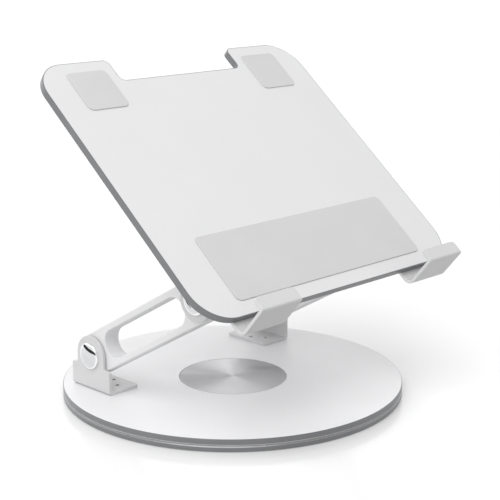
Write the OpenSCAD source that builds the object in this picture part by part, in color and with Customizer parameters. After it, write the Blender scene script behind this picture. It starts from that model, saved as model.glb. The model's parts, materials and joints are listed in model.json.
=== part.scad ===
// Swivelling tablet stand: fixed base disc, turntable on a ball race, two lifting arms and a tilting tray.
// Millimetres, +Z up, the user sits at -Y, origin at the centre of the underside of the base.

/* [Base] */
// Diameter of the two base discs
base_dia = 230; // [222:1:260]
// Thickness of the fixed lower disc
base_disc_t = 3.5; // [3.5:0.1:6]
// Thickness of the turntable disc
turntable_t = 4.1; // [4.1:0.1:7]
// Open gap between the two discs
disc_gap = 0.6; // [0.4:0.1:1]
// Diameter of the spun metal insert in the turntable
insert_dia = 73; // [60:1:80]
// Diameter of the circle that the bearing balls run on
race_dia = 104; // [90:1:120]
// Number of bearing balls
ball_count = 24; // [12:2:30]

/* [Brackets] */
// Outer face of each ear, from the middle of the stand
ear_outer_x = 85.5; // [84:0.5:88]
// Sheet thickness of the brackets
bracket_t = 2.2; // [2.1:0.1:3]
// Length of each bracket along its foot
bracket_len = 38; // [36:0.5:42]
// Width of each foot, from the ear's outer face inwards
foot_width = 25; // [24:0.5:28]
// Height of the pivot above the face that the bracket is screwed to
pivot_height = 23.5; // [22:0.5:28]
// Radius of the rounded top of each ear
ear_r = 13.4; // [12:0.1:14]
// Height of the wide lower part of each ear
shoulder_height = 16.3; // [14:0.1:18]
// Distance of the lower pivot behind the centre
lower_pivot_y = 47.3; // [40:0.1:50]

/* [Arms] */
// Distance between the two pivots of an arm
arm_len = 117.1; // [105:0.1:125]
// Depth of an arm across its flat face
arm_depth = 28; // [26:0.5:30]
// Thickness of an arm
arm_t = 12; // [11:0.5:13]
// Half width of the slot through an arm
window_r = 9.3; // [5:0.1:10]
// Distance from each pivot to the nearer end centre of the slot
window_inset = 25; // [23:0.5:30]
// Rise of the arms above the horizontal
arm_angle = 29.9; // [10:0.1:60]

/* [Tray] */
// Width of the tray plate
tray_width = 230; // [215:1:250]
// Length of the tray plate
tray_length = 206.4; // [200:0.1:230]
// Thickness of the tray plate
tray_t = 4.7; // [4.5:0.1:6]
// Tilt of the tray above the horizontal
tray_tilt = 39.7; // [0:0.1:60]
// Distance of the upper pivot behind the tray's front edge
tray_pivot_v = 33.4; // [32:0.1:40]
// Radius of the tray's front corners
front_corner_r = 24; // [10:1:30]
// Radius of the tray's rear corners
rear_corner_r = 23; // [10:1:30]
// Width of the cut-out in the rear edge
notch_width = 107; // [80:1:116]
// Depth of the cut-out in the rear edge
notch_depth = 18.9; // [12:0.1:20]

/* [Hooks and pads] */
// Distance of each hook from the middle of the tray
hook_x = 77.4; // [70:0.1:85]
// Width of a hook
hook_width = 33.2; // [28:0.1:36]
// Height of a hook above the tray's top face
hook_height = 20; // [14:0.5:26]
// Distance of a hook's outer face in front of the tray's edge
hook_reach = 10.4; // [10:0.1:14]
// Depth of the lip at the top of a hook
lip_depth = 9.8; // [8.6:0.1:10]
// Sheet thickness of a hook
hook_t = 2.1; // [2:0.1:2.4]
// Side of the two small square pads
small_pad = 32.2; // [25:0.1:34]
// Width of the large pad
large_pad_width = 170.4; // [140:0.1:180]
// Length of the large pad from front to back
large_pad_len = 49; // [40:0.1:55]
// Height of the pads above the tray's top face
pad_proud = 0.7; // [0.3:0.1:1.2]

/* [Hidden] */
$fn = 72;
eps = 0.01;
fit = 0.05;

// Base stack
base_r = base_dia / 2;
mat_r = base_r - 10;
mat_t = 0.9;
mat_proud = 0.5;
base_top = mat_proud + base_disc_t;
table_bottom = base_top + disc_gap;
table_top = table_bottom + turntable_t;
edge_chamfer = 0.5;
recess_gap = 0.3;

// Ball race
race_z = base_top + disc_gap / 2;
race_r = race_dia / 2;
ball_r = 1.5;
groove_r = ball_r + fit;
race_half_width = 5.1;
race_face = 0.7;
race_back = 2.3;
pocket_gap = 0.2;
cage_half_width = 3;
cage_t = 0.8;
cage_hole_r = 1.65;

// Centre bolt
insert_r = insert_dia / 2;
insert_t = 1;
insert_sunk = 0.1;
insert_z = table_top - insert_t - insert_sunk;
insert_gap = 0.25;
bolt_head_r = 12;
bolt_head_t = 1;
insert_bed = 0.15;
bolt_head_z = insert_z - insert_bed - bolt_head_t;
bolt_shoulder_r = 5;
bolt_thread_r = 3;
bolt_tip_z = 1;
bolt_nut_t = 1.4;
bolt_nut_af = 10;
bolt_washer_t = 0.5;
bolt_washer_r = 6.5;
nut_pocket_r = 7.5;
nut_pocket_z = bolt_tip_z + bolt_nut_t + bolt_washer_t;
thrust_t = 0.5;
thrust_z = bolt_head_z - fit - thrust_t;
bush_r = 7.5;

// Hinges
ear_inner_x = ear_outer_x - bracket_t;
friction_washer_t = 0.45;
friction_washer_r = 9;
arm_outer_x = ear_inner_x - friction_washer_t - fit;
arm_inner_x = arm_outer_x - arm_t;
arm_r = arm_depth / 2;
pin_r = 4;
arm_bush_r = 5.45;
nut_recess = 5;
nut_recess_r = 8.2;
recess_x = arm_inner_x + nut_recess;
spring_washer_t = 0.6;
spring_washer_r = 7.4;
spring_x = recess_x - fit - spring_washer_t;
pin_end_gap = 0.1;
pin_end_x = arm_inner_x + pin_end_gap;
hinge_nut_af = 13;
pin_head_r = 6.4;
pin_head_t = 1.2;
pin_key_af = 4;
pin_key_depth = 2.5;
cap_r = 8.8;
cap_t = 2.7;
cap_rim = 1.4;
cap_rise = cap_t - cap_rim;
cap_dome_r = (cap_r * cap_r + cap_rise * cap_rise) / (2 * cap_rise);
cap_pocket_r = 6.6;
cap_pocket_t = 1.3;

// Brackets
foot_inner_x = ear_outer_x - foot_width;
bend_r = 2.6;
inner_bend_r = 0.5;
shoulder_z = shoulder_height - pivot_height;
bracket_fillet = 1.5;
foot_corner_r = 2;
bracket_screw_x = foot_inner_x + 11;
middle_screw_x = foot_inner_x + 5.4;
bracket_screw_dy = 10.2;

// Bracket screws, M4 countersunk
m4_head_r = 3.9;
m4_head_t = 2;
m4_r = 1.95;
m4_len = 5.3;
m4_key_af = 2.5;
m4_key_depth = 1.6;
m4_spots = [
    [bracket_screw_x, -bracket_screw_dy],
    [middle_screw_x, 0],
    [bracket_screw_x, bracket_screw_dy]];

// Hook screws, M3 countersunk
m3_head_r = 2.9;
m3_head_t = 1.6;
m3_r = 1.45;
m3_len = 5;
m3_key_af = 2;
m3_key_depth = 1.2;
hook_screw_v = 6.4;
hook_screw_dx = 9;
hole_spare = 0.3;

// Pivots
lower_pivot_z = table_top + pivot_height;
upper_pivot_y = lower_pivot_y - arm_len * cos(arm_angle);
upper_pivot_z = lower_pivot_z + arm_len * sin(arm_angle);

// Tray
notch_r = 4.5;
pad_recess = 0.4;
pad_gap = 0.12;
pad_corner_r = 4;
small_pad_margin = 8.8;
small_pad_v = tray_length - small_pad_margin - small_pad / 2;
large_pad_margin = 9.8;
large_pad_v = large_pad_margin + large_pad_len / 2;
hook_tab_v = 12.6;
hook_bend_r = 5.6;
hook_top_r = 1.5;
hook_top_inner_r = 0.5;
lip_corner_r = 2.8;
liner_t = 0.8;
liner_width = hook_width - 4;
liner_low = -1;

// Colours
white = [0.92, 0.92, 0.93];
silicone = [0.82, 0.82, 0.82];
steel = [0.72, 0.73, 0.75];
dark_steel = [0.45, 0.46, 0.48];
chrome = [0.85, 0.86, 0.88];
nylon = [0.35, 0.36, 0.38];
bronze = [0.72, 0.6, 0.4];

base_mat();
base_disc();
bearing_lower_race();
bearing_balls();
bearing_cage();
bearing_upper_race();
pivot_bolt();
pivot_washer();
pivot_nut();
thrust_washer();
centre_bush();
turntable_disc();
spun_insert();
lower_bracket_left();
lower_bracket_right();
lower_bracket_screws();
lower_pivot_screws();
lower_pivot_caps();
lower_friction_washers();
lower_spring_washers();
lower_pivot_nuts();
arm_left();
arm_right();
arm_bushes();
upper_bracket_left();
upper_bracket_right();
upper_bracket_screws();
upper_pivot_screws();
upper_pivot_caps();
upper_friction_washers();
upper_spring_washers();
upper_pivot_nuts();
tray_plate();
pad_large();
pad_small_left();
pad_small_right();
hook_left();
hook_right();
hook_liners();
hook_screws();

// Helpers

// Upright drum between two heights
module drum(r, z0, z1) {
    translate([0, 0, z0])
        cylinder(r = r, h = z1 - z0);
}

// Upright ring between two heights
module tube(r_in, r_out, z0, z1) {
    difference() {
        drum(r_out, z0, z1);
        drum(r_in, z0 - 1, z1 + 1);
    }
}

// Hexagonal prism between two heights, given across its flats
module hex(af, z0, z1) {
    translate([0, 0, z0])
        cylinder(r = af / sqrt(3), h = z1 - z0, $fn = 6);
}

// Disc between two heights with chamfered edges
module disc(r, z0, z1, chamfer) {
    rotate_extrude()
        polygon([
            [0, z0],
            [r - chamfer, z0],
            [r, z0 + chamfer],
            [r, z1 - chamfer],
            [r - chamfer, z1],
            [0, z1]]);
}

// Corner between two edges and the arc that rounds it, toward the quadrant qx, qy
module nib(r, qx, qy) {
    scale([qx, qy])
        difference() {
            translate([-eps, -eps])
                square(r + eps);
            translate([r, r])
                circle(r);
        }
}

module rounded_square(w, l, r) {
    square([w - 2 * r, l], center = true);
    square([w, l - 2 * r], center = true);
    for (x = [-1, 1])
        for (y = [-1, 1])
            translate([x * (w / 2 - r), y * (l / 2 - r)])
                circle(r);
}

module both_sides() {
    children();
    mirror([1, 0, 0])
        children();
}

// Draws a shape given in the Y-Z plane as a slab between two X positions
module across(x0, x1) {
    translate([x0, 0, 0])
        rotate([90, 0, 90])
            linear_extrude(x1 - x0)
                children();
}

// Turns something drawn along +Z into one along +X
module along_x() {
    rotate([0, 90, 0])
        children();
}

module lower_pivot() {
    translate([0, lower_pivot_y, lower_pivot_z])
        children();
}

module upper_pivot() {
    translate([0, upper_pivot_y, upper_pivot_z])
        rotate([tray_tilt, 0, 0])
            children();
}

// Tray frame: origin on the top face at the front edge, Y runs back along the tray
module tray_frame() {
    upper_pivot()
        translate([0, -tray_pivot_v, pivot_height + tray_t])
            children();
}

// Countersunk screw with its head's top at the origin, pointing down
module sunk_screw(head_r, head_t, r, len, key_af, key_depth) {
    difference() {
        union() {
            translate([0, 0, -head_t])
                cylinder(r1 = r, r2 = head_r, h = head_t);
            drum(r, -len, -head_t / 2);
        }
        hex(key_af, -key_depth, 1);
    }
}

// Hole that a countersunk screw passes through in sheet of thickness t
module sunk_hole(head_r, head_t, r, t) {
    drum(r + fit, -t - 1, 1);
    translate([0, 0, -head_t - fit])
        cylinder(r1 = r + fit, r2 = head_r + fit, h = head_t + fit);
    drum(head_r + fit, -eps, 1);
}

// Base

module base_mat() {
    color(nylon)
        drum(mat_r, 0, mat_t);
}

module race_pocket(z0, z1) {
    tube(race_r - race_half_width - pocket_gap, race_r + race_half_width + pocket_gap, z0, z1);
}

module base_disc() {
    color(white)
        difference() {
            disc(base_r, mat_proud, base_top, edge_chamfer);
            drum(mat_r + recess_gap, mat_proud - 1, mat_t);
            race_pocket(race_z - race_back, base_top + 1);
            drum(nut_pocket_r, mat_t - eps, nut_pocket_z);
            drum(bolt_thread_r + fit, 0, base_top + 1);
        }
}

// One race ring lying below the ball circle
module race_ring() {
    rotate_extrude()
        difference() {
            translate([race_r - race_half_width, -race_back])
                square([2 * race_half_width, race_back - race_face]);
            translate([race_r, 0])
                circle(groove_r);
        }
}

module bearing_lower_race() {
    color(steel)
        translate([0, 0, race_z])
            race_ring();
}

module bearing_upper_race() {
    color(steel)
        translate([0, 0, race_z])
            mirror([0, 0, 1])
                race_ring();
}

module ball_places() {
    for (i = [0 : ball_count - 1])
        rotate([0, 0, i * 360 / ball_count])
            translate([race_r, 0, race_z])
                children();
}

module bearing_balls() {
    color(chrome)
        ball_places()
            sphere(r = ball_r, $fn = 32);
}

module bearing_cage() {
    color(nylon)
        difference() {
            tube(race_r - cage_half_width, race_r + cage_half_width, race_z - cage_t / 2, race_z + cage_t / 2);
            ball_places()
                drum(cage_hole_r, -cage_t, cage_t);
        }
}

module pivot_bolt() {
    color(dark_steel)
        union() {
            drum(bolt_head_r, bolt_head_z, bolt_head_z + bolt_head_t);
            drum(bolt_shoulder_r, base_top, bolt_head_z + bolt_head_t / 2);
            drum(bolt_thread_r, bolt_tip_z, base_top + 1);
        }
}

module pivot_washer() {
    color(steel)
        tube(bolt_thread_r + fit, bolt_washer_r, nut_pocket_z - bolt_washer_t, nut_pocket_z);
}

module pivot_nut() {
    color(steel)
        difference() {
            hex(bolt_nut_af, bolt_tip_z, bolt_tip_z + bolt_nut_t);
            drum(bolt_thread_r + fit, 0, base_top);
        }
}

module thrust_washer() {
    color(nylon)
        tube(bolt_shoulder_r + fit, bolt_head_r, thrust_z, thrust_z + thrust_t);
}

module centre_bush() {
    color(bronze)
        tube(bolt_shoulder_r + fit, bush_r, table_bottom, thrust_z);
}

module spun_insert() {
    color(chrome)
        drum(insert_r, insert_z, insert_z + insert_t);
}

module turntable_disc() {
    color(white)
        difference() {
            disc(base_r, table_bottom, table_top, edge_chamfer);
            drum(insert_r + insert_gap, insert_z, table_top + 1);
            drum(bolt_head_r + 2 * recess_gap, thrust_z, table_top);
            drum(bush_r + fit, table_bottom - 1, table_top);
            race_pocket(table_bottom - 1, race_z + race_back);
            both_sides()
                lower_pivot()
                    for (p = m4_spots)
                        translate([p[0], p[1], -pivot_height])
                            drum(m4_r + fit, bracket_t - m4_len - hole_spare, 1);
        }
}

// Brackets

// Sheet seen from the front: foot, bend and ear
module bracket_sheet() {
    difference() {
        union() {
            translate([foot_inner_x, -pivot_height])
                square([foot_width, bracket_t]);
            translate([ear_inner_x, -pivot_height])
                square([bracket_t, pivot_height + ear_r + 1]);
            translate([ear_inner_x, bracket_t - pivot_height])
                nib(inner_bend_r, -1, 1);
        }
        translate([ear_outer_x, -pivot_height])
            nib(bend_r, -1, 1);
    }
}

// Outline of the ear seen from the side, pivot at the origin
module ear_outline() {
    circle(ear_r);
    translate([-ear_r, -pivot_height])
        square([2 * ear_r, pivot_height]);
    difference() {
        translate([-bracket_len / 2, -pivot_height - 1])
            square([bracket_len, shoulder_height + 1]);
        for (s = [-1, 1])
            translate([s * bracket_len / 2, shoulder_z])
                nib(bracket_fillet, -s, -1);
    }
    for (s = [-1, 1])
        translate([s * ear_r, shoulder_z])
            nib(bracket_fillet, s, 1);
}

// Outline of the foot seen from above
module foot_outline() {
    difference() {
        translate([foot_inner_x, -bracket_len / 2])
            square([foot_width + 1, bracket_len]);
        for (s = [-1, 1])
            translate([foot_inner_x, s * bracket_len / 2])
                nib(foot_corner_r, 1, -s);
    }
}

// Right-hand bracket with its pivot at the origin and its foot below
module bracket() {
    difference() {
        intersection() {
            translate([0, bracket_len / 2 + 1, 0])
                rotate([90, 0, 0])
                    linear_extrude(bracket_len + 2)
                        bracket_sheet();
            across(foot_inner_x - 1, ear_outer_x + 1)
                ear_outline();
            translate([0, 0, -pivot_height - 1])
                linear_extrude(2 * pivot_height)
                    foot_outline();
        }
        along_x()
            drum(pin_r + fit, ear_inner_x - 1, ear_outer_x + 1);
        for (p = m4_spots)
            translate([p[0], p[1], bracket_t - pivot_height])
                sunk_hole(m4_head_r, m4_head_t, m4_r, bracket_t);
    }
}

// The three screws of a right-hand bracket
module bracket_screws() {
    for (p = m4_spots)
        translate([p[0], p[1], bracket_t - pivot_height])
            sunk_screw(m4_head_r, m4_head_t, m4_r, m4_len, m4_key_af, m4_key_depth);
}

module lower_bracket_right() {
    color(white)
        lower_pivot()
            bracket();
}

module lower_bracket_left() {
    color(white)
        mirror([1, 0, 0])
            lower_pivot()
                bracket();
}

module lower_bracket_screws() {
    color(white)
        both_sides()
            lower_pivot()
                bracket_screws();
}

module upper_bracket_right() {
    color(white)
        upper_pivot()
            rotate([180, 0, 0])
                bracket();
}

module upper_bracket_left() {
    color(white)
        mirror([1, 0, 0])
            upper_pivot()
                rotate([180, 0, 0])
                    bracket();
}

module upper_bracket_screws() {
    color(white)
        both_sides()
            upper_pivot()
                rotate([180, 0, 0])
                    bracket_screws();
}

// Hinge hardware for the right-hand side, pivot at the origin

module pivot_screw() {
    along_x()
        difference() {
            union() {
                drum(pin_r, pin_end_x, ear_outer_x + pin_head_t / 2);
                drum(pin_head_r, ear_outer_x, ear_outer_x + pin_head_t);
            }
            hex(pin_key_af, ear_outer_x + pin_head_t - pin_key_depth, ear_outer_x + 2 * pin_head_t);
        }
}

module pivot_cap() {
    translate([ear_outer_x, 0, 0])
        along_x()
            rotate_extrude()
                difference() {
                    intersection() {
                        square([cap_r, cap_t]);
                        translate([0, cap_t - cap_dome_r])
                            circle(cap_dome_r, $fn = 180);
                    }
                    translate([0, -1])
                        square([cap_pocket_r, cap_pocket_t + 1]);
                }
}

module friction_washer() {
    along_x()
        tube(pin_r + 2 * fit, friction_washer_r, ear_inner_x - friction_washer_t, ear_inner_x);
}

module spring_washer() {
    along_x()
        tube(pin_r + 2 * fit, spring_washer_r, spring_x, spring_x + spring_washer_t);
}

module hinge_nut() {
    along_x()
        difference() {
            hex(hinge_nut_af, pin_end_x, spring_x);
            drum(pin_r + fit, pin_end_x - 1, spring_x + 1);
        }
}

module lower_pivot_screws() {
    color(dark_steel)
        both_sides()
            lower_pivot()
                pivot_screw();
}

module lower_pivot_caps() {
    color(chrome)
        both_sides()
            lower_pivot()
                pivot_cap();
}

module lower_friction_washers() {
    color(nylon)
        both_sides()
            lower_pivot()
                friction_washer();
}

module lower_spring_washers() {
    color(steel)
        both_sides()
            lower_pivot()
                spring_washer();
}

module lower_pivot_nuts() {
    color(steel)
        both_sides()
            lower_pivot()
                hinge_nut();
}

module upper_pivot_screws() {
    color(dark_steel)
        both_sides()
            upper_pivot()
                pivot_screw();
}

module upper_pivot_caps() {
    color(chrome)
        both_sides()
            upper_pivot()
                pivot_cap();
}

module upper_friction_washers() {
    color(nylon)
        both_sides()
            upper_pivot()
                friction_washer();
}

module upper_spring_washers() {
    color(steel)
        both_sides()
            upper_pivot()
                spring_washer();
}

module upper_pivot_nuts() {
    color(steel)
        both_sides()
            upper_pivot()
                hinge_nut();
}

// Arms

// Arm outline with the lower pivot at the origin and the upper one along +X
module arm_outline() {
    difference() {
        union() {
            circle(arm_r);
            translate([arm_len, 0])
                circle(arm_r);
            translate([0, -arm_r])
                square([arm_len, arm_depth]);
        }
        translate([window_inset, 0])
            circle(window_r);
        translate([arm_len - window_inset, 0])
            circle(window_r);
        translate([window_inset, -window_r])
            square([arm_len - 2 * window_inset, 2 * window_r]);
    }
}

module arm() {
    difference() {
        lower_pivot()
            across(arm_inner_x, arm_outer_x)
                rotate(180 - arm_angle)
                    arm_outline();
        lower_pivot()
            arm_bore();
        upper_pivot()
            arm_bore();
    }
}

module arm_bore() {
    along_x() {
        drum(arm_bush_r + fit, arm_inner_x, arm_outer_x + 1);
        drum(nut_recess_r, arm_inner_x - 1, recess_x);
    }
}

module arm_bush() {
    along_x()
        tube(pin_r + fit, arm_bush_r, recess_x, arm_outer_x);
}

module arm_right() {
    color(white)
        arm();
}

module arm_left() {
    color(white)
        mirror([1, 0, 0])
            arm();
}

module arm_bushes() {
    color(bronze)
        both_sides() {
            lower_pivot()
                arm_bush();
            upper_pivot()
                arm_bush();
        }
}

// Tray

// Seen from above the tray, front edge on the X axis
module tray_outline() {
    difference() {
        translate([-tray_width / 2, 0])
            square([tray_width, tray_length]);
        for (s = [-1, 1]) {
            translate([s * tray_width / 2, 0])
                nib(front_corner_r, -s, 1);
            translate([s * tray_width / 2, tray_length])
                nib(rear_corner_r, -s, -1);
            translate([s * notch_width / 2, tray_length])
                nib(notch_r, s, -1);
        }
        difference() {
            translate([-notch_width / 2, tray_length - notch_depth])
                square([notch_width, notch_depth + 1]);
            for (s = [-1, 1])
                translate([s * notch_width / 2, tray_length - notch_depth])
                    nib(notch_r, -s, 1);
        }
    }
}

// A pad's footprint between two heights, grown by g on every side
module pad_slab(w, l, g, z0, z1) {
    translate([0, 0, z0])
        linear_extrude(z1 - z0)
            rounded_square(w + 2 * g, l + 2 * g, pad_corner_r + g);
}

module small_pad_place() {
    translate([hook_x, small_pad_v, 0])
        children();
}

module large_pad_place() {
    translate([0, large_pad_v, 0])
        children();
}

module hook_screw_places() {
    for (s = [-1, 1])
        translate([hook_x + s * hook_screw_dx, hook_screw_v, -tray_t - hook_t])
            rotate([180, 0, 0])
                children();
}

module tray_plate() {
    color(white)
        difference() {
            tray_frame()
                translate([0, 0, -tray_t])
                    linear_extrude(tray_t)
                        tray_outline();
            tray_frame()
                large_pad_place()
                    pad_slab(large_pad_width, large_pad_len, pad_gap, -pad_recess, 1);
            both_sides() {
                tray_frame() {
                    small_pad_place()
                        pad_slab(small_pad, small_pad, pad_gap, -pad_recess, 1);
                    hook_screw_places()
                        drum(m3_r + fit, -m3_len - hole_spare, 0);
                }
                upper_pivot()
                    rotate([180, 0, 0])
                        for (p = m4_spots)
                            translate([p[0], p[1], -pivot_height])
                                drum(m4_r + fit, bracket_t - m4_len - hole_spare, 1);
            }
        }
}

module pad_large() {
    color(silicone)
        tray_frame()
            large_pad_place()
                pad_slab(large_pad_width, large_pad_len, 0, -pad_recess, pad_proud);
}

module pad_small_right() {
    color(silicone)
        tray_frame()
            small_pad_place()
                pad_slab(small_pad, small_pad, 0, -pad_recess, pad_proud);
}

module pad_small_left() {
    color(silicone)
        mirror([1, 0, 0])
            tray_frame()
                small_pad_place()
                    pad_slab(small_pad, small_pad, 0, -pad_recess, pad_proud);
}

// Hook seen from the side, in the tray frame's Y-Z plane
module hook_profile() {
    difference() {
        union() {
            translate([-hook_reach, -tray_t - hook_t])
                square([hook_reach + hook_tab_v, hook_t]);
            translate([-hook_reach, -tray_t - hook_t])
                square([hook_t, hook_height + tray_t + hook_t]);
            translate([-hook_reach, hook_height - hook_t])
                square([lip_depth, hook_t]);
            translate([hook_t - hook_reach, -tray_t])
                nib(hook_bend_r - hook_t, 1, 1);
            translate([hook_t - hook_reach, hook_height - hook_t])
                nib(hook_top_inner_r, 1, -1);
        }
        translate([-hook_reach, -tray_t - hook_t])
            nib(hook_bend_r, 1, 1);
        translate([-hook_reach, hook_height])
            nib(hook_top_r, 1, -1);
    }
}

module hook() {
    tray_frame()
        difference() {
            across(hook_x - hook_width / 2, hook_x + hook_width / 2)
                hook_profile();
            for (s = [-1, 1])
                translate([hook_x + s * hook_width / 2, lip_depth - hook_reach, hook_height / 2])
                    linear_extrude(hook_height)
                        nib(lip_corner_r, -s, -1);
            hook_screw_places()
                sunk_hole(m3_head_r, m3_head_t, m3_r, hook_t);
        }
}

module hook_right() {
    color(white)
        hook();
}

module hook_left() {
    color(white)
        mirror([1, 0, 0])
            hook();
}

module hook_liners() {
    color(silicone)
        both_sides()
            tray_frame()
                translate([hook_x - liner_width / 2, hook_t - hook_reach, liner_low])
                    cube([liner_width, liner_t, hook_height - hook_t - hook_top_inner_r - liner_low]);
}

module hook_screws() {
    color(white)
        both_sides()
            tray_frame()
                hook_screw_places()
                    sunk_screw(m3_head_r, m3_head_t, m3_r, m3_len, m3_key_af, m3_key_depth);
}
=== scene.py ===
import json
import math

import bmesh
import bpy
from mathutils import Matrix, Vector
from mathutils.geometry import tessellate_polygon


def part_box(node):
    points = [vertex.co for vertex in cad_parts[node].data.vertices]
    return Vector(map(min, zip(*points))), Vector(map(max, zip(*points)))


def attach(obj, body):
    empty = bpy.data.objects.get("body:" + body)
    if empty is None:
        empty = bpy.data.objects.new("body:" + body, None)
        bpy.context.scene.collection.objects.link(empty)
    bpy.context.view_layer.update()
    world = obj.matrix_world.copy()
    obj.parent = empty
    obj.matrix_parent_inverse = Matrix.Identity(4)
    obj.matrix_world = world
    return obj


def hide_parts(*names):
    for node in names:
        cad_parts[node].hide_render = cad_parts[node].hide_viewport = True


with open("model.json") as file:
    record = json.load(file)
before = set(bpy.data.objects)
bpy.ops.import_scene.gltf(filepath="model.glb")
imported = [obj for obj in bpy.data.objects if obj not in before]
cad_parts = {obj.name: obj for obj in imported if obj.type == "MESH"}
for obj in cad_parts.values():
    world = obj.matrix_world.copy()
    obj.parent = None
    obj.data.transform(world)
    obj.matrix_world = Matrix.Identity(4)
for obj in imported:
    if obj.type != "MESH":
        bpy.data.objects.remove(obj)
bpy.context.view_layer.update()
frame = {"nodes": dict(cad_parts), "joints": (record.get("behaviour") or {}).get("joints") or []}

# Sizes are in millimetres, as in the design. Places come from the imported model.
MM = 0.001
JOINTS = {j["name"]: j for j in frame["joints"]}
LOWER_PIVOT = Vector(JOINTS["arm_lift"]["pos_m"]) / MM
UPPER_PIVOT = Vector(JOINTS["tray_tilt"]["pos_m"]) / MM
TILT = math.radians(39.7)  # of the tray, in the rest pose
PIVOT_HEIGHT = 23.5  # of a hinge's axis, from the face that its bracket is screwed to
TRAY_T = 4.7
TRAY_PIVOT_V = 33.4  # from the tray's front edge back to the upper hinge's axis


def span(node):
    """Lowest and highest corner of a CAD node, in millimetres."""
    lo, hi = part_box(node)
    return lo / MM, hi / MM


# ---------------------------------------------------------------- outlines


def circle(r, n, cx=0.0, cy=0.0):
    """A circle as a loop of points, anticlockwise."""
    turns = [2 * math.pi * i / n for i in range(n)]
    return [(cx + r * math.cos(a), cy + r * math.sin(a)) for a in turns]


def arc(cx, cy, r, a0, a1, n):
    """Points of an arc, from angle a0 to a1 in degrees."""
    turns = [math.radians(a0 + (a1 - a0) * k / n) for k in range(n + 1)]
    return [(cx + r * math.cos(a), cy + r * math.sin(a)) for a in turns]


def filleted(corners, step):
    """Rounds each corner (x, y, radius) of an anticlockwise polygon, a point every step degrees."""
    out = []
    for i, (x, y, r) in enumerate(corners):
        if r <= 0:
            out.append((x, y))
            continue
        p = Vector((x, y))
        a = (Vector(corners[i - 1][:2]) - p).normalized()
        b = (Vector(corners[(i + 1) % len(corners)][:2]) - p).normalized()
        half = a.angle(b) / 2
        t = r / math.tan(half)
        centre = p + (a + b).normalized() * (r / math.sin(half))
        start, end = p + a * t - centre, p + b * t - centre
        sweep = -start.angle_signed(end)
        n = max(3, int(math.degrees(abs(sweep)) / step) + 1)
        a0 = math.atan2(start.y, start.x)
        for k in range(n + 1):
            turn = a0 + sweep * k / n
            out.append((centre.x + r * math.cos(turn), centre.y + r * math.sin(turn)))
    return out


def rounded_box(w, l, r, cx, cy):
    w, l = w / 2, l / 2
    corners = [(cx - w, cy - l, r), (cx + w, cy - l, r), (cx + w, cy + l, r), (cx - w, cy + l, r)]
    return filleted(corners, 6)


def hexagon(af):
    """A hexagon, from its width across flats."""
    return circle(af / math.sqrt(3), 6)


def inset(loop, d):
    """Moves a loop into the material by d: inward for an outline, and outward for a hole, whose
    loop runs clockwise."""
    out = []
    n = len(loop)
    for i in range(n):
        p, q, s = Vector(loop[i - 1]), Vector(loop[i]), Vector(loop[(i + 1) % n])
        e, f = (q - p).normalized(), (s - q).normalized()
        m = Vector((e.y, -e.x)) + Vector((f.y, -f.x))
        q = q - m / max(1e-6, 1 + e.dot(f)) * d
        out.append((q.x, q.y))
    return out


def edge_rings(loop, z0, z1, r_top, r_bottom, steps):
    """Rings down a wall whose two edges are rounded, from the top face to the bottom face."""
    rings = []
    for k in range(steps + 1):
        a = math.pi / 2 * k / steps
        rings.append((inset(loop, r_top * (1 - math.sin(a))), z1 - r_top * (1 - math.cos(a))))
    for k in range(steps + 1):
        a = math.pi / 2 * (1 - k / steps)
        rings.append((inset(loop, r_bottom * (1 - math.sin(a))), z0 + r_bottom * (1 - math.cos(a))))
    return rings


def bore(profile, cx, cy, n):
    """Rings of a round hole, from its (radius, height) pairs."""
    return [(circle(r, n, cx, cy)[::-1], z) for r, z in profile]


# ---------------------------------------------------------------- solids


class Solid:
    """Vertices in millimetres, and faces with a material number each."""

    def __init__(self):
        self.verts, self.faces, self.mats = [], [], []

    def ring(self, loop, z):
        first = len(self.verts)
        self.verts += [(x, y, z) for x, y in loop]
        return list(range(first, len(self.verts)))

    def band(self, a, b, mat):
        """Joins two rings of vertex numbers. A ring may be one vertex over and over."""
        for j in range(len(a)):
            i = (j + 1) % len(a)
            self.faces.append(tuple(dict.fromkeys((a[j], b[j], b[i], a[i]))))
            self.mats.append(mat)

    def wall(self, rings, mat):
        """Joins rings down a wall. mat is a number, or one number for each band."""
        ids = [self.ring(*r) for r in rings]
        for k, (a, b) in enumerate(zip(ids, ids[1:])):
            self.band(a, b, mat if isinstance(mat, int) else mat[k])
        return ids

    def cap(self, loops, up, mat):
        """Fills between an outline and its holes, given as lists of vertex numbers."""
        flat = [i for loop in loops for i in loop]
        outlines = [[Vector(self.verts[i][:2]).to_3d() for i in loop] for loop in loops]
        for tri in tessellate_polygon(outlines):
            a, b, c = (flat[i] for i in tri)
            pa, pb, pc = (Vector(self.verts[i]) for i in (a, b, c))
            area = (pb - pa).cross(pc - pa).z
            if abs(area) < 1e-9:
                continue
            self.faces.append((a, b, c) if (area > 0) == up else (a, c, b))
            self.mats.append(mat)

    def move(self, matrix):
        self.verts = [tuple(matrix @ Vector(v)) for v in self.verts]
        if matrix.to_3x3().determinant() < 0:
            self.faces = [f[::-1] for f in self.faces]
        return self

    def add(self, other):
        n = len(self.verts)
        self.verts += other.verts
        self.faces += [tuple(i + n for i in f) for f in other.faces]
        self.mats += other.mats
        return self

    def copy(self):
        return Solid().add(self)


def block(outer, holes=(), pockets=(), mats=(0, 0, 0)):
    """A solid from its outer rings, through holes and blind pockets. mats: top, wall, bottom."""
    top, wall, bottom = mats
    s = Solid()
    o = s.wall(outer, wall)
    hs = [s.wall(h, wall) for h in holes]
    ps = [s.wall(p, top) for p in pockets]
    s.cap([o[0]] + [h[0] for h in hs] + [p[0] for p in ps], True, top)
    s.cap([o[-1]] + [h[-1] for h in hs], False, bottom)
    for p in ps:
        s.cap([p[-1]], True, top)
    return s


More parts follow.
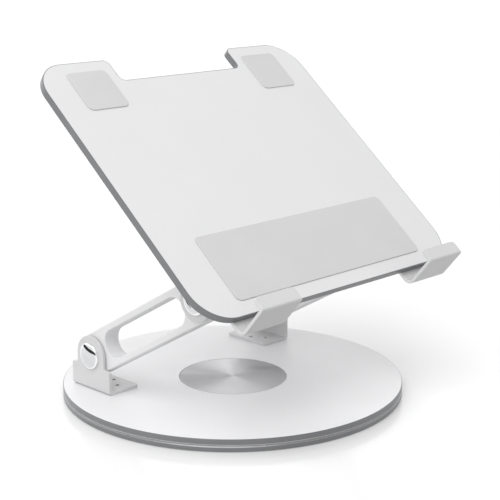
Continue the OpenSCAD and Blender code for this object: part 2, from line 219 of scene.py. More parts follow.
def lathe(profile, n, mats=0):
    """Turns (radius, height) points about Z. They run outward over the top, down, and back in
    below. mats is a number, or one number for the band after each point."""
    s = Solid()
    ids = []
    for r, z in profile:
        if r == 0:
            s.verts.append((0, 0, z))
            ids.append([len(s.verts) - 1] * n)
        else:
            ids.append(s.ring(circle(r, n), z))
    for k, (a, b) in enumerate(zip(ids, ids[1:] + ids[:1])):
        if a[0] != a[1] or b[0] != b[1]:
            s.band(a, b, mats if isinstance(mats, int) else mats[k])
    return s


def from_bmesh(bm, place=tuple):
    """Makes a bmesh into a solid and frees it. place says where each vertex goes."""
    bm.verts.index_update()
    s = Solid()
    s.verts = [place(v.co) for v in bm.verts]
    s.faces = [tuple(v.index for v in f.verts) for f in bm.faces]
    s.mats = [0] * len(s.faces)
    bm.free()
    return s


MIRROR = Matrix.Diagonal((-1, 1, 1, 1))
SIDES = (("right", Matrix.Identity(4)), ("left", MIRROR))
# Local Z becomes X, for turned pieces on a hinge axis
ALONG_X = Matrix.Rotation(math.radians(90), 4, "Y")
FLIP = Matrix.Rotation(math.pi, 4, "X")
AT_LOWER = Matrix.Translation(LOWER_PIVOT)
AT_UPPER = Matrix.Translation(UPPER_PIVOT) @ Matrix.Rotation(TILT, 4, "X")
# Origin in the middle of the tray's front edge, Y back along its top face
ON_TRAY = AT_UPPER @ Matrix.Translation((0, -TRAY_PIVOT_V, PIVOT_HEIGHT + TRAY_T))


def both(solid):
    """A solid of the right-hand side together with its mirror image."""
    return solid.copy().add(solid.copy().move(MIRROR))


# ---------------------------------------------------------------- materials


def node(tree, kind, **values):
    n = tree.nodes.new(kind)
    for k, v in values.items():
        if k in n.inputs:
            n.inputs[k].default_value = v
        else:
            setattr(n, k, v)
    return n


def maths(tree, operation, *values):
    """The result of a maths node on sockets and numbers."""
    n = node(tree, "ShaderNodeMath", operation=operation)
    for socket, v in zip(n.inputs, values):
        if isinstance(v, (int, float)):
            socket.default_value = v
        else:
            tree.links.new(v, socket)
    return n.outputs[0]


def map_range(tree, value, start, end):
    """The result of mapping a socket's value from one (low, high) pair to another."""
    n = node(tree, "ShaderNodeMapRange")
    for k, v in zip(("From Min", "From Max", "To Min", "To Max"), start + end):
        n.inputs[k].default_value = v
    tree.links.new(value, n.inputs[0])
    return n.outputs[0]


NOISE_RANGE = (0.3, 0.7)  # most of what a noise node gives


def surface(name, colour, roughness, metallic=0.0, specular=0.5, tint=0.02, tint_scale=40.0,
            vary=0.05, vary_scale=120.0, grain=900.0, bump=0.05, depth=0.00004,
            stretch=(1, 1, 1)):
    """A material with slow colour drift, uneven gloss and a fine relief. Scales are per metre."""
    m = bpy.data.materials.new(name)
    m.use_nodes = True
    t = m.node_tree
    t.nodes.clear()
    out = node(t, "ShaderNodeOutputMaterial")
    b = node(t, "ShaderNodeBsdfPrincipled", Metallic=metallic)
    b.inputs["Specular IOR Level"].default_value = specular
    t.links.new(b.outputs[0], out.inputs[0])
    where = node(t, "ShaderNodeTexCoord")
    place = node(t, "ShaderNodeMapping", Scale=stretch)
    t.links.new(where.outputs["Object"], place.inputs[0])

    slow = node(t, "ShaderNodeTexNoise", Scale=tint_scale, Detail=4.0, Roughness=0.55)
    t.links.new(where.outputs["Object"], slow.inputs["Vector"])
    ramp = node(t, "ShaderNodeValToRGB")
    for stop, position, change in zip(ramp.color_ramp.elements, NOISE_RANGE, (-tint, tint)):
        stop.position = position
        stop.color = (*(min(1.0, c * (1 + change)) for c in colour), 1)
    t.links.new(slow.outputs["Fac"], ramp.inputs[0])
    t.links.new(ramp.outputs[0], b.inputs["Base Color"])

    gloss = node(t, "ShaderNodeTexNoise", Scale=vary_scale, Detail=3.0)
    t.links.new(place.outputs[0], gloss.inputs["Vector"])
    spread = (max(0.02, roughness - vary), min(1.0, roughness + vary))
    uneven = map_range(t, gloss.outputs["Fac"], NOISE_RANGE, spread)
    t.links.new(uneven, b.inputs["Roughness"])

    fine = node(t, "ShaderNodeTexNoise", Scale=grain, Detail=3.0)
    t.links.new(place.outputs[0], fine.inputs["Vector"])
    relief = node(t, "ShaderNodeBump", Strength=bump, Distance=depth)
    t.links.new(fine.outputs["Fac"], relief.inputs["Height"])
    t.links.new(relief.outputs[0], b.inputs["Normal"])
    return m


def white_coat(name, colour, roughness, tint_scale, vary_scale, bump=0.10):
    """White powder coating, with a fine even grain."""
    return surface(name, colour, roughness, specular=0.4, tint=0.012, tint_scale=tint_scale,
                   vary=0.05, vary_scale=vary_scale, grain=1500, bump=bump, depth=0.00003)


def spun_metal():
    """Turned aluminium: fine circular grooves round the swivel axis, which stretch the gloss
    across them."""
    m = surface("spun_aluminium", (0.53, 0.53, 0.54), 0.38, metallic=1.0, tint_scale=60, vary=0.03,
                bump=0.12, depth=0.00003)
    t = m.node_tree
    b = t.nodes["Principled BSDF"]
    b.inputs["Anisotropic"].default_value = 1.0
    tangent = node(t, "ShaderNodeTangent", direction_type="RADIAL", axis="Z")
    t.links.new(tangent.outputs[0], b.inputs["Tangent"])
    apart = node(t, "ShaderNodeSeparateXYZ")
    t.links.new(t.nodes["Texture Coordinate"].outputs["Object"], apart.inputs[0])
    x, y = apart.outputs["X"], apart.outputs["Y"]
    squares = maths(t, "ADD", maths(t, "MULTIPLY", x, x), maths(t, "MULTIPLY", y, y))
    along = node(t, "ShaderNodeCombineXYZ")
    t.links.new(maths(t, "SQRT", squares), along.inputs["X"])
    # The grooves take the place of the fine grain
    grooves = node(t, "ShaderNodeTexNoise", Scale=2600.0, Detail=2.0)
    t.links.new(along.outputs[0], grooves.inputs["Vector"])
    t.links.new(grooves.outputs["Fac"], t.nodes["Bump"].inputs["Height"])
    return m


WHITE = white_coat("white_coat", (0.83, 0.83, 0.84), 0.42, 18, 60)
WHITE_TRAY = white_coat("white_coat_tray", (0.772, 0.772, 0.78), 0.42, 18, 60, bump=0.14)
# The arms have the same white paint as the discs. It is made darker here as painted shade.
ARM_COAT_PAINTED_SHADE = white_coat("white_coat_arms_painted_shade", (0.76, 0.76, 0.767), 0.42, 24, 60)
# The brackets' steel has a greyer white coat, like the hooks'. It is made darker still as painted
# shade on the feet beside the ears.
STEEL_COAT_AND_PAINTED_SHADE = white_coat("white_coat_brackets_and_painted_shade", (0.635, 0.635, 0.64), 0.40, 30, 90)
WHITE_HOOK = white_coat("white_coat_hooks", (0.67, 0.67, 0.675), 0.40, 30, 90)
CUT_EDGE = surface(
    "cut_edge", (0.212, 0.215, 0.222), 0.34, metallic=0.35, tint=0.05, tint_scale=35, vary=0.06,
    vary_scale=300, bump=0.10, depth=0.00003, stretch=(0.25, 0.25, 3.0))
# A lighter cut for the lower disc's top bevel. It is partly a polished finish and partly a painted
# highlight line above the dark edge.
BRIGHT_CUT_PAINTED_HIGHLIGHT = surface(
    "bright_cut_painted_highlight", (0.32, 0.32, 0.325), 0.32, metallic=0.5, tint=0.04, tint_scale=35, vary=0.06,
    vary_scale=300, bump=0.08, depth=0.00003)
SILICONE = surface(
    "grey_silicone", (0.645, 0.645, 0.645), 0.62, specular=0.35, tint_scale=25, vary=0.06,
    vary_scale=70, grain=700, bump=0.12, depth=0.00005)
MAT = surface(
    "mat_silicone", (0.05, 0.05, 0.052), 0.7, specular=0.35, tint=0.08, tint_scale=30, vary=0.08,
    grain=600, bump=0.2, depth=0.00006)
CHROME = surface(
    "chrome", (0.68, 0.685, 0.695), 0.05, metallic=1.0, tint=0.01, vary=0.02, vary_scale=90,
    grain=300, bump=0.01, depth=0.00002)
# A brighter copy of the chrome for the caps' rims: a painted highlight.
CHROME_RIM_PAINTED_HIGHLIGHT = surface(
    "chrome_rim_painted_highlight", (0.93, 0.932, 0.94), 0.09, metallic=1.0, tint=0.01, vary=0.02, vary_scale=90,
    grain=300, bump=0.01, depth=0.00002)
STEEL = surface(
    "bearing_steel", (0.56, 0.565, 0.575), 0.22, metallic=1.0, tint=0.04, vary=0.06, bump=0.06)
SCREW = surface(
    "screw_steel", (0.16, 0.162, 0.17), 0.34, metallic=0.9, tint=0.08, vary=0.07, grain=800,
    bump=0.1)
# The screw sockets are a mid grey, lighter than a dark hex recess. This is a painted highlight for
# the light on their floors.
SOCKET_PAINTED_HIGHLIGHT = surface(
    "screw_socket_painted_highlight", (0.52, 0.522, 0.53), 0.36, metallic=0.3, tint=0.08, vary=0.07, grain=800,
    bump=0.1)
NYLON = surface(
    "nylon", (0.06, 0.062, 0.066), 0.5, specular=0.4, tint=0.06, vary=0.06, grain=700, bump=0.1)
BRONZE = surface(
    "bronze", (0.55, 0.36, 0.16), 0.34, metallic=1.0, tint=0.06, vary=0.07, grain=1100, bump=0.14)
SPUN = spun_metal()

# ---------------------------------------------------------------- pieces


def piece(name, solid, body, materials, nodes, sharp=38.0):
    """Makes an object of a solid, rides it on a body and hides the CAD nodes that it replaces.
    Edges that turn by more than sharp degrees stay sharp."""
    mesh = bpy.data.meshes.new(name)
    mesh.from_pydata([Vector(v) * MM for v in solid.verts], [], solid.faces)
    mesh.polygons.foreach_set("material_index", solid.mats)
    for m in materials:
        mesh.materials.append(m)
    mesh.shade_smooth()
    mesh.set_sharp_from_angle(angle=math.radians(sharp))
    mesh.update()
    o = bpy.data.objects.new(name, mesh)
    bpy.context.scene.collection.objects.link(o)
    o.modifiers.new("even_normals", "WEIGHTED_NORMAL").keep_sharp = True
    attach(o, body)
    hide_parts(*nodes)


# Discs, mat and balls

DISC_STEPS = 256
RACE_IN, RACE_OUT = 46.7, 57.3  # grooves for the ball race, in both discs
MAT_T = 0.9
BALL_COUNT = 24


def lower_disc():
    """A polished bevel over its dark edge, coloured lighter as a painted highlight line, a recess
    for the mat and a pocket for the nut.
    """
    lo, hi = span("base_disc")
    r, z0, z1 = hi.x, lo.z, hi.z
    hole, groove_z = 3.05, 2.0
    top_bevel, low_bevel = 0.6, 0.35
    recess, pocket, pocket_z = 105.3, 7.5, 2.9
    top = [(hole, z1), (RACE_IN, z1), (RACE_IN, groove_z), (RACE_OUT, groove_z), (RACE_OUT, z1)]
    edge = [(r - top_bevel, z1), (r, z1 - top_bevel), (r, z0 + low_bevel)]
    under = [(r - low_bevel, z0), (recess, z0), (recess, MAT_T), (pocket, MAT_T),
             (pocket, pocket_z), (hole, pocket_z)]
    # The top bevel takes the lighter cut, as a painted highlight line.
    mats = [0] * len(top) + [2, 1, 1] + [0] * len(under)
    return lathe(top + edge + under, DISC_STEPS, mats)


def underside_mat():
    r, rounding = span("base_mat")[1].x, 0.2
    corner = arc(r - rounding, rounding, rounding, 0, -90, 3)
    return lathe([(0, MAT_T), (r, MAT_T)] + corner + [(0, 0)], 192)


def turntable_top():
    """A rounded dark edge over a bevel in the white coat, which paints a highlight line below the
    edge, and seats for the spun disc and the bolt.
    """
    lo, hi = span("turntable_disc")
    r, z0, z1 = hi.x, lo.z, hi.z
    hole, groove_z = 7.55, 6.6
    bolt, bolt_z = 12.6, 5.9
    seat, seat_z, seat_bevel = 36.75, 7.6, 0.12
    rounding, low_bevel, low_bevel_z = 0.45, 0.5, 0.6
    top = [(bolt, seat_z), (seat, seat_z), (seat, z1 - seat_bevel), (seat + seat_bevel, z1)]
    edge = [(r - rounding, z1)] + arc(r - rounding, z1 - rounding, rounding, 90, 0, 4)[1:]
    under = [(r, z0 + low_bevel_z), (r - low_bevel, z0), (RACE_OUT, z0), (RACE_OUT, groove_z),
             (RACE_IN, groove_z), (RACE_IN, z0), (hole, z0), (hole, bolt_z), (bolt, bolt_z)]
    # The bottom bevel takes the white coat rather than the dark cut: a painted highlight line.
    mats = [0] * len(top) + [1] * len(edge) + [0] * len(under)
    return lathe(top + edge + under, DISC_STEPS, mats)


def spun_disc():
    lo, hi = span("spun_insert")
    r, z0, z1, bevel = hi.x, lo.z, hi.z, 0.25
    top = [(r * part, z1) for part in (0, 0.25, 0.5, 0.75)]
    return lathe(top + [(r - bevel, z1), (r, z1 - bevel), (r, z0), (0, z0)], DISC_STEPS)


def race_balls():
    lo, hi = span("bearing_balls")
    r, steps = (hi.z - lo.z) / 2, 16
    turns = [math.pi * k / steps for k in range(1, steps)]
    ball = [(0, r)] + [(r * math.sin(a), r * math.cos(a)) for a in turns] + [(0, -r)]
    on_track = Matrix.Translation((hi.x - r, 0, (lo.z + hi.z) / 2))
    out = Solid()
    for i in range(BALL_COUNT):
        turned = Matrix.Rotation(2 * math.pi * i / BALL_COUNT, 4, "Z")
        out.add(lathe(ball, 32).move(turned @ on_track))
    return out


piece("lower_disc", lower_disc(), "base", [WHITE, CUT_EDGE, BRIGHT_CUT_PAINTED_HIGHLIGHT], ["base_disc"])
piece("underside_mat", underside_mat(), "base", [MAT], ["base_mat"])
piece("turntable_top", turntable_top(), "turntable", [WHITE, CUT_EDGE], ["turntable_disc"])
piece("spun_disc", spun_disc(), "turntable", [SPUN], ["spun_insert"])
piece("race_balls", race_balls(), "ball_cage", [CHROME], ["bearing_balls"])

# Brackets: a flat pattern with rounded edges, cut across the bend and then bent up

HOLE_STEPS = 40
EDGE_R = 0.3  # rounding of the brackets' and the tray's edges
EAR_X = span("lower_bracket_right")[1].x
EAR_R = 13.4
HALF_LEN = 19
SHOULDER_HEIGHT = 16.3
FOOT_WIDTH = 25.0  # from the ear's outer face inward
SHEET = 2.2
BEND = 2.6  # outer radius
BEND_STEPS = 8
FOOT = FOOT_WIDTH - BEND  # the foot's flat part
TURN = BEND * math.pi / 2  # length that the bend takes up
EAR_BASE = FOOT + TURN - BEND  # along the pattern, where the ear's height is counted from
PIVOT_HOLE = 4.05
FOOT_HOLES = ((-10.2, 11.0), (0, 5.4), (10.2, 11.0))  # along the foot, and in from its edge


def bracket():
    """Right-hand bracket, pivot at the origin, foot below."""
    top = EAR_BASE + PIVOT_HEIGHT
    shoulder = EAR_BASE + SHOULDER_HEIGHT
    pattern = filleted([
        (-HALF_LEN, 0, 2.0), (HALF_LEN, 0, 2.0), (HALF_LEN, shoulder, 1.5), (EAR_R, shoulder, 1.5),
        (EAR_R, top, 0), (-EAR_R, top, 0), (-EAR_R, shoulder, 1.5), (-HALF_LEN, shoulder, 1.5)], 10)
    start = pattern.index((EAR_R, top))
    loop = pattern[:start] + arc(0, top, EAR_R, 0, 180, 40) + pattern[start + 2:]
    sink = [(4.02, SHEET), (3.93, SHEET - 0.06), (2.0, 0.15), (2.0, 0)]
    holes = [bore(sink, u, s, HOLE_STEPS) for u, s in FOOT_HOLES]
    holes.append(bore([(PIVOT_HOLE, SHEET), (PIVOT_HOLE, 0)], 0, top, HOLE_STEPS))
    flat = block(edge_rings(loop, 0, SHEET, EDGE_R, EDGE_R, 2), holes)
    bm = bmesh.new()
    vs = [bm.verts.new(v) for v in flat.verts]
    for f in flat.faces:
        bm.faces.new([vs[i] for i in f])
    for k in range(BEND_STEPS + 1):
        across = (0, FOOT + TURN * k / BEND_STEPS, 0)
        bmesh.ops.bisect_plane(bm, geom=bm.verts[:] + bm.edges[:] + bm.faces[:], plane_co=across,
                               plane_no=(0, 1, 0), dist=1e-5)

    def bent(co):
        u, s, h = co
        if s <= FOOT:
            x, z = s, h
        elif s <= FOOT + TURN:
            a = (s - FOOT) / BEND
            x, z = FOOT + (BEND - h) * math.sin(a), BEND - (BEND - h) * math.cos(a)
        else:
            x, z = FOOT_WIDTH - h, s - EAR_BASE
        return x + EAR_X - FOOT_WIDTH, -u, z - PIVOT_HEIGHT

    return from_bmesh(bm, bent)


for side, turn in SIDES:
    piece(f"lower_ear_bracket_{side}", bracket().move(turn @ AT_LOWER), "turntable",
          [STEEL_COAT_AND_PAINTED_SHADE], [f"lower_bracket_{side}"], sharp=50)
    piece(f"upper_ear_bracket_{side}", bracket().move(turn @ AT_UPPER @ FLIP), "tray",
          [STEEL_COAT_AND_PAINTED_SHADE], [f"upper_bracket_{side}"], sharp=50)

# Screws


def sunk_screw(head_r, head_t, r, length, af, deep):
    """Countersunk screw with a hexagon socket, its head's top at the origin."""
    side = [(head_r - 0.12, 0), (head_r, -0.1), (r, -head_t), (r, 0.4 - length),
            (r - 0.35, -length)]
    socket = [(hexagon(af + 0.25), 0), (hexagon(af), -0.12), (hexagon(af), -deep)]
    s = Solid()
    o = s.wall([(circle(a, HOLE_STEPS), z) for a, z in side], 0)
    # The socket's lower sides and floor take the second material, whose light grey is a painted
    # highlight.
    h = s.wall([(loop[::-1], z) for loop, z in socket], [0, 1])
    s.cap([o[0], h[0]], True, 0)
    s.cap([o[-1]], False, 0)
    s.cap([h[-1]], True, 1)
    return s


def bracket_screws():
    """The three screws of a right-hand bracket, pivot at the origin."""
    out = Solid()
    for y, s in FOOT_HOLES:
        at = Matrix.Translation((EAR_X - FOOT_WIDTH + s, y, SHEET - PIVOT_HEIGHT))
        screw = sunk_screw(head_r=3.88, head_t=2.0, r=1.95, length=5.3, af=2.5, deep=1.6)
        out.add(screw.move(at))
    return out


piece("lower_foot_screws", both(bracket_screws().move(AT_LOWER)), "turntable",
      [STEEL_COAT_AND_PAINTED_SHADE, SOCKET_PAINTED_HIGHLIGHT], ["lower_bracket_screws"])
piece("upper_foot_screws", both(bracket_screws().move(AT_UPPER @ FLIP)), "tray",
      [STEEL_COAT_AND_PAINTED_SHADE, SOCKET_PAINTED_HIGHLIGHT], ["upper_bracket_screws"])

# Hinge caps and nuts

CAP_R, CAP_T, CAP_RIM = 8.8, 2.7, 1.4
DOME_EDGE, DOME_STEPS = 0.45, 14
HOLLOW_R, HOLLOW_T = 6.6, 1.3
NUT_T, NUT_FLAT = 4.25, 6.5


def cap():
    """Domed cap: a shallow dome, a rounded rim and the hollow that covers the screw's head."""
    rise = CAP_T - CAP_RIM
    dome = (CAP_R ** 2 + rise ** 2) / (2 * rise)
    radii = [(CAP_R - DOME_EDGE) * k / DOME_STEPS for k in range(1, DOME_STEPS + 1)]
    pts = [(0, CAP_T)] + [(x, CAP_T - dome + math.sqrt(dome ** 2 - x ** 2)) for x in radii]
    z = pts[-1][1]
    pts += [(CAP_R - 0.2, z - 0.08), (CAP_R - 0.05, z - 0.22), (CAP_R, z - 0.42), (CAP_R, 0),
            (HOLLOW_R, 0), (HOLLOW_R, HOLLOW_T), (0, HOLLOW_T)]
    # The dome's outer edge, the rim, the underside and the hollow take the brighter chrome, as a
    # painted highlight round the rim.
    return lathe(pts, 96, [0] * (DOME_STEPS - 1) + [1] * (len(pts) - DOME_STEPS))


def hinge_nut():
    """Hexagon nut with chamfered corners, on the hinge axis just inside the arm."""
    n = 72
    turns = [2 * math.pi * i / n for i in range(n)]
    sixth = math.pi / 3
    start = NUT_FLAT * 0.97
    full = [NUT_FLAT / math.cos((a + sixth / 2) % sixth - sixth / 2) for a in turns]
    drop = [(f - start) * 0.5 for f in full]
    s = Solid()

    def ring(radii, zs):
        first = len(s.verts)
        s.verts += [(q * math.cos(a), q * math.sin(a), z) for q, a, z in zip(radii, turns, zs)]
        return list(range(first, len(s.verts)))

    rings = [ring([start] * n, [NUT_T] * n), ring(full, [NUT_T - d for d in drop]),
             ring(full, drop), ring([start] * n, [0.0] * n)]
    for a, b in zip(rings, rings[1:]):
        s.band(a, b, 0)
    hole = s.wall(bore([(4.45, NUT_T), (4.05, NUT_T - 0.4), (4.05, 0.4), (4.45, 0)], 0, 0, n), 0)
    s.cap([rings[0], hole[0]], True, 0)
    s.cap([rings[-1], hole[-1]], False, 0)
    inner = span("lower_pivot_nuts")[1].x - NUT_T
    return s.move(ALONG_X).move(Matrix.Translation((inner, 0, 0)))


for level, hinge, body in (("lower", AT_LOWER, "turntable"), ("upper", AT_UPPER, "tray")):
    domed = cap().move(ALONG_X).move(Matrix.Translation((EAR_X, 0, 0))).move(hinge)
    piece(f"{level}_chrome_caps", both(domed), body, [CHROME, CHROME_RIM_PAINTED_HIGHLIGHT],
          [f"{level}_pivot_caps"], sharp=60)
    piece(f"{level}_hinge_nuts", both(hinge_nut().move(hinge)), body, [STEEL],
          [f"{level}_pivot_nuts"])

# Arms

ARM_X0, ARM_X1 = (corner.x for corner in span("arm_right"))
ALONG_ARM = UPPER_PIVOT - LOWER_PIVOT
ARM_LEN = ALONG_ARM.length
ARM_R = 14.0
SLOT_R, SLOT_INSET = 9.3, 25
BUSH_HOLE = 5.5
NUT_RECESS, NUT_RECESS_T = 8.2, 5.0


def stadium(r, x0, x1):
    """Outline of a bar with round ends, whose centres are at x0 and x1."""
    turns = [math.pi * k / 28 for k in range(29)]
    loop = [(x1 + r * math.sin(a), -r * math.cos(a)) for a in turns]
    return loop + [(x0 - r * math.sin(a), r * math.cos(a)) for a in turns]


def arm():
    """Right-hand arm: a slot along it, and at each end a bush's hole with a recess for the nut."""
    t = ARM_X1 - ARM_X0
    end = [(BUSH_HOLE + 0.1, t), (BUSH_HOLE, t - 0.1), (BUSH_HOLE, NUT_RECESS_T),
           (NUT_RECESS, NUT_RECESS_T), (NUT_RECESS, 0.35), (NUT_RECESS + 0.35, 0)]
    slot = edge_rings(stadium(SLOT_R, SLOT_INSET, ARM_LEN - SLOT_INSET)[::-1], 0, t, 0.8, 0.8, 4)
    outer = edge_rings(stadium(ARM_R, 0, ARM_LEN), 0, t, 0.9, 0.9, 4)
    s = block(outer, [slot, bore(end, 0, 0, 64), bore(end, ARM_LEN, 0, 64)])
    # Local X runs up the arm, local Z outward
    lift = math.atan2(ALONG_ARM.z, -ALONG_ARM.y)
    c, d = math.cos(lift), math.sin(lift)
    place = Matrix(((0, 0, 1, ARM_X0), (-c, -d, 0, 0), (d, -c, 0, 0), (0, 0, 0, 1)))
    return s.move(Matrix.Translation(LOWER_PIVOT) @ place)


for side, turn in SIDES:
    piece(f"lift_arm_{side}", arm().move(turn), "arms", [ARM_COAT_PAINTED_SHADE], [f"arm_{side}"])

# Tray plate with shallow seats for the pads. V is a distance back from its front edge.

TRAY_W, TRAY_L = span("tray_plate")[1].x * 2, 206.4
FRONT_R, REAR_R = 24, 23
NOTCH_W, NOTCH_D, NOTCH_R = 107.0, 18.9, 4.5
SMALL_PAD, SMALL_X, SMALL_GAP = 32.2, 77.4, 8.8
BIG_W, BIG_L, BIG_GAP = 170.4, 49.0, 9.8
PAD_R, PAD_SUNK, PAD_PROUD = 4, 0.4, 0.7
SEAT_GAP = 0.12
SMALL_V = TRAY_L - SMALL_GAP - SMALL_PAD / 2
PADS = {"pad_large": (BIG_W, BIG_L, 0, BIG_GAP + BIG_L / 2),
        "pad_small_right": (SMALL_PAD, SMALL_PAD, SMALL_X, SMALL_V),
        "pad_small_left": (SMALL_PAD, SMALL_PAD, -SMALL_X, SMALL_V)}

half, notch, notch_v = TRAY_W / 2, NOTCH_W / 2, TRAY_L - NOTCH_D
outline = filleted([
    (-half, 0, FRONT_R), (half, 0, FRONT_R), (half, TRAY_L, REAR_R), (notch, TRAY_L, NOTCH_R),
    (notch, notch_v, NOTCH_R), (-notch, notch_v, NOTCH_R), (-notch, TRAY_L, NOTCH_R),
    (-half, TRAY_L, REAR_R)], 4)
seats = []
for w, l, x, v in PADS.values():
    loop = rounded_box(w + 2 * SEAT_GAP, l + 2 * SEAT_GAP, PAD_R + SEAT_GAP, x, v)[::-1]
    seats.append([(loop, 0), (loop, -PAD_SUNK)])
# A flat bevel at the top edge, and the rounded half of the rings at the bottom edge
rings = edge_rings(outline, -TRAY_T, 0, EDGE_R, EDGE_R, 3)
rim = [(inset(outline, 0.5), 0), (outline, -0.12)] + rings[len(rings) // 2:]
plate = block(rim, pockets=seats, mats=(0, 1, 0)).move(ON_TRAY)
piece("tray_sheet", plate, "tray", [WHITE_TRAY, CUT_EDGE], ["tray_plate"])

for name, (w, l, x, v) in PADS.items():
    rings = edge_rings(rounded_box(w, l, PAD_R, x, v), -PAD_SUNK, PAD_PROUD, 0.28, 0.05, 3)
    piece(name.replace("pad", "silicone_pad"), block(rings).move(ON_TRAY), "tray", [SILICONE],
          [name])

# Hooks: a bent profile, whose lip shortens toward its two corners

HOOK_W, HOOK_X, HOOK_T = 33.2, 77.4, 2.1
HOOK_FRONT, HOOK_TOP, HOOK_LOW = -10.4, 20.0, -TRAY_T - HOOK_T
HOOK_WALL = HOOK_FRONT + HOOK_T  # the wall's inner face
LIP, LIP_R, TAB_V = 9.8, 2.8, 12.6
END_ROUND = 0.35
HOOK_SCREWS = [(HOOK_X + d, 6.4, HOOK_LOW) for d in (-9, 9)]


def hook_loop(shorter):
    """The hook's profile, with its lip shorter by so much."""
    tip, lip_z = HOOK_FRONT + LIP - shorter, HOOK_TOP - HOOK_T
    return filleted([
        (TAB_V, HOOK_LOW, 0.25), (TAB_V, -TRAY_T, 0.25), (HOOK_WALL, -TRAY_T, 3.5),
        (HOOK_WALL, lip_z, 0.5), (tip, lip_z, 0.45), (tip, HOOK_TOP, 0.45),
        (HOOK_FRONT, HOOK_TOP, 1.5), (HOOK_FRONT, HOOK_LOW, 5.6)], 9)


def hook():
    """Right-hand hook on the tray, from profiles between its two ends."""
    turns = [math.pi / 2 * k / 3 for k in range(4)]
    ends = [(END_ROUND * (1 - math.cos(a)), END_ROUND * (1 - math.sin(a))) for a in turns]
    ends += [(LIP_R * (1 - math.cos(math.radians(a))), 0.0) for a in range(30, 91, 10)]
    rings = []
    for d, smaller in ends:
        shorter = LIP_R - math.sqrt(max(0.0, LIP_R ** 2 - (LIP_R - d) ** 2))
        rings.append((d, inset(hook_loop(shorter), smaller)))
    s = block([(loop, HOOK_W - d) for d, loop in rings] + [(loop, d) for d, loop in rings[::-1]])
    # Local Z becomes X, local X becomes Y
    across = Matrix(((0, 0, 1, 0), (1, 0, 0, 0), (0, 1, 0, 0), (0, 0, 0, 1)))
    return s.move(Matrix.Translation((HOOK_X - HOOK_W / 2, 0, 0)) @ across)


def hook_cutters():
    """What the screws' countersunk holes take out of a hook."""
    out = Solid()
    for p in HOOK_SCREWS:
        profile = [(0, 0.5), (3.0, 0.5), (2.98, 0), (1.5, -1.65), (1.5, -2.6), (0, -2.6)]
        c = lathe(profile, HOLE_STEPS)
        out.add(c.move(Matrix.Translation(p) @ FLIP))
    return out


def cut(solid, cutters):
    """Takes the cutters out of a solid. This is exact only in millimetres and square to the tray,
    so the result is moved into place afterwards."""
    made = []
    for s in (solid, cutters):
        mesh = bpy.data.meshes.new("cutting")
        mesh.from_pydata(s.verts, [], s.faces)
        o = bpy.data.objects.new("cutting", mesh)
        bpy.context.scene.collection.objects.link(o)
        made.append(o)
    holes = made[0].modifiers.new("holes", "BOOLEAN")
    holes.operation, holes.solver, holes.object = "DIFFERENCE", "EXACT", made[1]
    drawn = made[0].evaluated_get(bpy.context.evaluated_depsgraph_get())
    bm = bmesh.new()
    bm.from_mesh(bpy.data.meshes.new_from_object(drawn))
    bmesh.ops.remove_doubles(bm, verts=bm.verts[:], dist=0.002)
    bmesh.ops.recalc_face_normals(bm, faces=bm.faces[:])
    for o in made:
        bpy.data.objects.remove(o)
    return from_bmesh(bm)


drilled = cut(hook(), hook_cutters()).move(ON_TRAY)
for side, turn in SIDES:
    piece(f"tablet_hook_{side}", drilled.copy().move(turn), "tray", [WHITE_HOOK],
          [f"hook_{side}"])

# Liners: local X across the tray, local Y up the hook's wall, local Z back along the tray
LINER_W, LINER_H, LINER_T, LINER_Z = 29.2, 18.4, 0.8, 8.2
liner = block(edge_rings(rounded_box(LINER_W, LINER_H, 1.2, 0, LINER_Z), 0, LINER_T, 0.25, 0.05, 2))
stand = Matrix(((-1, 0, 0, HOOK_X), (0, 0, 1, HOOK_WALL), (0, 1, 0, 0), (0, 0, 0, 1)))
piece("hook_silicone", both(liner.move(ON_TRAY @ stand)), "tray", [SILICONE], ["hook_liners"])

screws = Solid()
for p in HOOK_SCREWS:
    screw = sunk_screw(head_r=2.88, head_t=1.6, r=1.45, length=5.0, af=2.0, deep=1.2)
    screws.add(screw.move(ON_TRAY @ Matrix.Translation(p) @ FLIP))
piece("hook_fixing_screws", both(screws), "tray", [WHITE_HOOK, SOCKET_PAINTED_HIGHLIGHT], ["hook_screws"])

# CAD nodes that stay get the materials made here
KEPT = {
    STEEL: ["bearing_lower_race", "bearing_upper_race", "pivot_washer", "pivot_nut",
            "lower_spring_washers", "upper_spring_washers"],
    NYLON: ["bearing_cage", "thrust_washer", "lower_friction_washers", "upper_friction_washers"],
    SCREW: ["pivot_bolt", "lower_pivot_screws", "upper_pivot_screws"],
    BRONZE: ["centre_bush", "arm_bushes"],
}
for m, names in KEPT.items():
    for n in names:
        for s in frame["nodes"][n].material_slots:
            s.material = m

# ---------------------------------------------------------------- studio, in metres

FLOOR_HALF = 30.0
# Dark strip beside the stand: its outline as (y, z) points
FLAG_X = -0.16
FLAG = [(0.052, 0.020), (0.218, 0.020), (0.218, 0.0352), (0.162, 0.0355), (0.090, 0.0317),
        (0.052, 0.0245)]
# The world's light: even above and below the horizon, with a blend between, and soft lobes
SKY, GROUND = 0.55, 0.48
HORIZON = (-0.12, 0.04)
LOBES = [((-1, 0, 0), 0.82), ((1, 0, 0), 0.82), ((0, 1, 0), 1.15), ((0, -1, 0), 0.13),
         ((1, 1, 0), 0.25)]
KEY_AT, KEY_AIM = Vector((-0.85, -0.45, 1.65)), Vector((0, 0, 0.1))
KEY_SIDE, KEY_WATTS = 1.5, 18.3


def add_sheet(name, corners, material):
    """A flat face that isn't part of the object."""
    mesh = bpy.data.meshes.new(name)
    mesh.from_pydata(corners, [], [tuple(range(len(corners)))])
    mesh.materials.append(material)
    o = bpy.data.objects.new(name, mesh)
    bpy.context.scene.collection.objects.link(o)
    return o


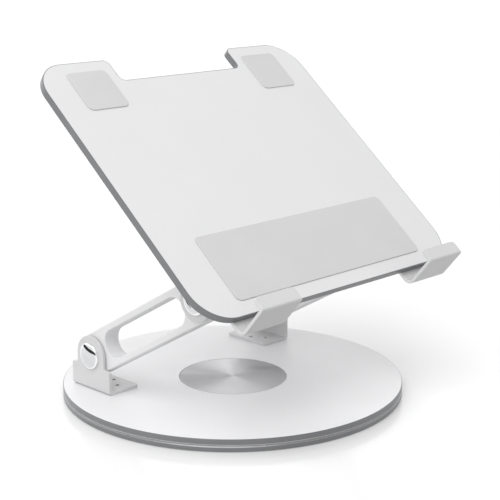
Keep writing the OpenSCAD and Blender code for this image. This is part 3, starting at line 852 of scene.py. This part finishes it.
def add_floor():
    plain = bpy.data.materials.new("white_floor")
    plain.use_nodes = True
    b = plain.node_tree.nodes["Principled BSDF"]
    b.inputs["Base Color"].default_value = (0.94, 0.94, 0.94, 1)
    b.inputs["Roughness"].default_value = 0.18
    s = FLOOR_HALF
    o = add_sheet("studio_floor", [(-s, -s, 0), (s, -s, 0), (s, s, 0), (-s, s, 0)], plain)
    # The light that a floor throws up comes from the world's ground instead
    o.visible_diffuse = False


def add_flag():
    """A narrow dark strip, which shows only in the gloss of the chrome caps and the floor."""
    card = surface("dark_card", (0.04, 0.04, 0.04), 0.9, specular=0.1, tint=0.1, bump=0.0)
    o = add_sheet("dark_flag", [(FLAG_X, y, z) for y, z in FLAG], card)
    o.visible_camera = o.visible_diffuse = o.visible_shadow = False


def add_world():
    w = bpy.data.worlds.new("studio")
    bpy.context.scene.world = w
    w.use_nodes = True
    t = w.node_tree
    t.nodes.clear()
    out = node(t, "ShaderNodeOutputWorld")
    bg = node(t, "ShaderNodeBackground")
    direction = node(t, "ShaderNodeTexCoord").outputs["Generated"]
    apart = node(t, "ShaderNodeSeparateXYZ")
    t.links.new(direction, apart.inputs[0])
    total = map_range(t, apart.outputs["Z"], HORIZON, (GROUND, SKY))
    for lobe, strength in LOBES:
        toward = node(t, "ShaderNodeVectorMath", operation="DOT_PRODUCT")
        toward.inputs[1].default_value = Vector(lobe).normalized()
        t.links.new(direction, toward.inputs[0])
        soft = maths(t, "POWER", maths(t, "MAXIMUM", toward.outputs["Value"], 0.0), 2.0)
        total = maths(t, "MULTIPLY_ADD", soft, strength, total)
    t.links.new(total, bg.inputs["Strength"])
    t.links.new(bg.outputs[0], out.inputs[0])


def add_key():
    """One large soft light, high up on the photograph's near left."""
    d = bpy.data.lights.new("key", "AREA")
    d.shape, d.size = "SQUARE", KEY_SIDE
    d.energy = KEY_WATTS
    o = bpy.data.objects.new("key", d)
    bpy.context.scene.collection.objects.link(o)
    o.location = KEY_AT
    o.rotation_mode = "QUATERNION"
    o.rotation_quaternion = (KEY_AIM - KEY_AT).to_track_quat("-Z", "Y")


add_floor()
add_flag()
add_world()
add_key()

# Camera: the photograph's viewing angle
AZIMUTH, PITCH = math.radians(-45.594), math.radians(14.039)
CAMERA_RIGHT, CAMERA_UP, CAMERA_BACK = 0.011678, 0.094119, 0.903475
LENS, SENSOR = 94.965, 36
flat = math.cos(PITCH)
back = Vector((math.sin(AZIMUTH) * flat, -math.cos(AZIMUTH) * flat, math.sin(PITCH)))
right = Vector((math.cos(AZIMUTH), math.sin(AZIMUTH), 0))
up = back.cross(right)
data = bpy.data.cameras.new("camera")
data.sensor_width, data.lens = SENSOR, LENS
data.clip_start, data.clip_end = 0.01, 100
camera = bpy.data.objects.new("camera", data)
bpy.context.scene.collection.objects.link(camera)
camera.location = right * CAMERA_RIGHT + up * CAMERA_UP + back * CAMERA_BACK
camera.rotation_mode = "QUATERNION"
camera.rotation_quaternion = (-back).to_track_quat("-Z", "Y")
bpy.context.scene.camera = camera
bpy.context.scene.view_settings.view_transform = "Standard"
